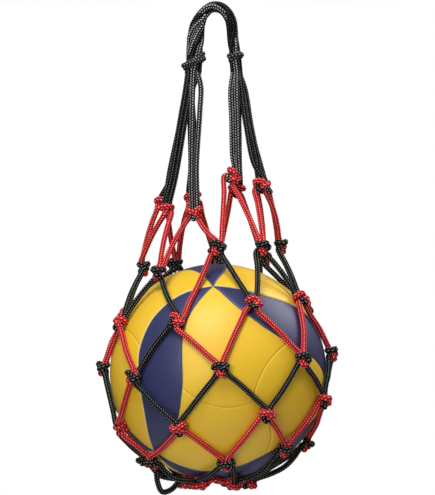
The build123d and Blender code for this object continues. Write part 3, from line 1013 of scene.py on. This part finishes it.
def yellow_patch(corners, face, corner):
    """A yellow panel's grid, the lines of its coloured borders, and those of its other seams."""
    after, before = [k for k in range(4) if k not in (face, corner)]
    if corners[face] @ np.cross(corners[corner], corners[after]) < 0:
        after, before = before, after
    face_middle = -corners[face]
    leaving = border_between(corners, corner, after)
    coming = border_between(corners, before, corner)
    at = round(SPLIT_AT * (len(leaving) - 1))
    leaving, coming = leaving[:at + 1], coming[at:][::-1]
    far = split_to_face_middle(leaving[-1], face_middle)
    near = split_to_face_middle(coming[-1], face_middle)
    grid = patch(leaving, near, coming, far, 90, 90)
    return grid, np.concatenate([leaving, coming]), np.concatenate([far, near])


def distance_to(line, points):
    """Distance along the ball, in millimetres, from each point to the nearest of a line's."""
    if not len(line):
        return np.full(len(points), 99.0)
    fine = resample(line, np.linspace(0, 1, 6 * len(line)))
    return np.min(np.linalg.norm(points[:, None] - fine[None], axis=2), axis=1) * BALL_R


def make_panel(name, grid, border_line, split_line, material, hole):
    """One panel: a thin shell that dips into its seams."""
    rows, columns, _ = grid.shape
    way = grid.reshape(-1, 3)
    border, split = distance_to(border_line, way), distance_to(split_line, way)
    seam = np.minimum(border, split)
    dip = BORDER_DIP * np.exp(-(border / BORDER_REACH) ** 2)
    dip = np.minimum(dip + SPLIT_DIP * np.exp(-(split / SPLIT_REACH) ** 2), BORDER_DIP)
    dip += EDGE_DIP * np.exp(-seam / EDGE_REACH)
    points = BALL_CENTRE + way * (BALL_R - dip)[:, None]
    i, j = np.meshgrid(np.arange(rows - 1), np.arange(columns - 1), indexing="ij")
    corner = (i * columns + j).ravel()
    quads = np.stack([corner, corner + 1, corner + columns + 1, corner + columns], -1)
    if hole is not None:
        inside = np.linalg.norm(way - hole, axis=1) * BALL_R < VALVE_R + 1.0
        quads = quads[~inside[quads].all(1)]
    mesh = bpy.data.meshes.new(name)
    mesh.from_pydata(mm(points).tolist(), [], quads.tolist())
    for label, values in (("seam", seam), ("border", border)):
        mesh.attributes.new(label, "FLOAT", "POINT").data.foreach_set("value", values)
    mesh.materials.append(material)
    panel = add_object(name + "_leather", mesh)
    tidy_panel(panel)
    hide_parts(name)
    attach(panel, "ball")


def make_ball(yellow, blue, rubber):
    """Six blue panels along the tetrahedron's edges, and three yellow ones on each face."""
    corners = star_corners()
    valve_way = unit(corners[VALVE_PAIR[0]] + corners[VALVE_PAIR[1]])
    pairs = [(i, j) for i in range(4) for j in range(i + 1, 4)]
    for number, pair in enumerate(pairs, start=1):
        hole = valve_way if pair == VALVE_PAIR else None
        make_panel(f"blue_panel_{number}", *blue_patch(corners, *pair), blue, hole)
    spots = [(face, corner) for face in range(4) for corner in range(4) if corner != face]
    for number, spot in enumerate(spots, start=1):
        make_panel(f"yellow_panel_{number}", *yellow_patch(corners, *spot), yellow, None)
    make_valve(valve_way, rubber)


def tidy_panel(panel):
    """Gives a panel its thickness, and smooth shading."""
    bm = bmesh.new()
    bm.from_mesh(panel.data)
    bmesh.ops.remove_doubles(bm, verts=bm.verts, dist=1e-6)
    loose = [v for v in bm.verts if not v.link_faces]
    bmesh.ops.delete(bm, geom=loose, context="VERTS")
    bmesh.ops.recalc_face_normals(bm, faces=bm.faces)
    if sum(f.normal.dot(f.calc_center_median() - Vector(mm(BALL_CENTRE))) for f in bm.faces) < 0:
        bmesh.ops.reverse_faces(bm, faces=bm.faces)
    bm.to_mesh(panel.data)
    bm.free()
    panel.data.shade_smooth()
    shell = panel.modifiers.new("thickness", "SOLIDIFY")
    shell.thickness = PANEL_T * 0.001
    shell.offset = -1


def make_valve(way, rubber):
    """The valve's dished mouth, turned about its axis."""
    profile = [
        (0.0, -7.0), (1.1, -7.0), (1.2, -1.6), (1.9, -0.9), (3.0, -0.9), (3.9, -0.3), (4.6, 0.15),
        (5.6, 0.1), (6.6, -0.25), (6.6, -1.2), (4.8, -1.2),
    ]
    side = unit(np.cross(way, [0.0, 0.0, 1.0]))
    up = np.cross(way, side)
    count = 48
    points, faces = [], []
    for radius, height in profile:
        for step in range(count):
            a = 2 * math.pi * step / count
            arm = side * math.cos(a) + up * math.sin(a)
            points.append(BALL_CENTRE + arm * radius + way * (BALL_R + height))
    for ring in range(len(profile) - 1):
        for step in range(count):
            following = (step + 1) % count
            base, top = ring * count, (ring + 1) * count
            faces.append((base + step, base + following, top + following, top + step))
    mesh = bpy.data.meshes.new("valve_mouth")
    mesh.from_pydata(mm(points).tolist(), [], faces)
    mesh.materials.append(rubber)
    mesh.shade_smooth()
    mouth = add_object("valve_mouth", mesh)
    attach(mouth, "ball")


def finish_cad_nodes(rubber):
    """The ball's inner layers keep their CAD shapes."""
    for name in ("carcass", "bladder", "valve"):
        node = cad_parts[name]
        node.data.materials.clear()
        node.data.materials.append(rubber)


# ------------------------ the scene
camera()
studio()
# Cord: the strength of its painted highlights, the colours of the painted shade in its grooves,
# of its body and of its painted highlights, and its roughness. Leather: the colours of the panel,
# its turned edge and the line in its seam.
black_cord = Cord("black_cord", 0.15, (0.0, 0.0, 0.0), (0.004, 0.004, 0.004), (1.0, 1.0, 1.0), 0.4)
red_cord = Cord("red_cord", 0.55, (0.26, 0.002, 0.006), (0.90, 0.018, 0.028), (1.0, 0.38, 0.34), 0.45)
yellow_leather = panel_material(
    "yellow_leather", (0.93, 0.58, 0.025), (0.75, 0.62, 0.3), (0.06, 0.05, 0.07),
)
blue_leather = panel_material(
    "blue_leather", (0.026, 0.032, 0.115), (0.09, 0.09, 0.2), (0.02, 0.02, 0.05),
)
valve_rubber = plain_material("valve_rubber", (0.03, 0.03, 0.03), 0.5)

net_knots = knot_rows()
make_net(net_knots, black_cord, red_cord)
make_bottom(net_knots, red_cord)
handle_grip = Grip()
make_handle(net_knots, handle_grip, black_cord)
make_whipping(handle_grip, "left_whipping", 0.072, -5.0, 0.0, black_cord)
make_whipping(handle_grip, "right_whipping", 0.895, -1.5, -1.2, black_cord)
make_tail(net_knots, black_cord)
make_ball(yellow_leather, blue_leather, valve_rubber)
finish_cad_nodes(valve_rubber)
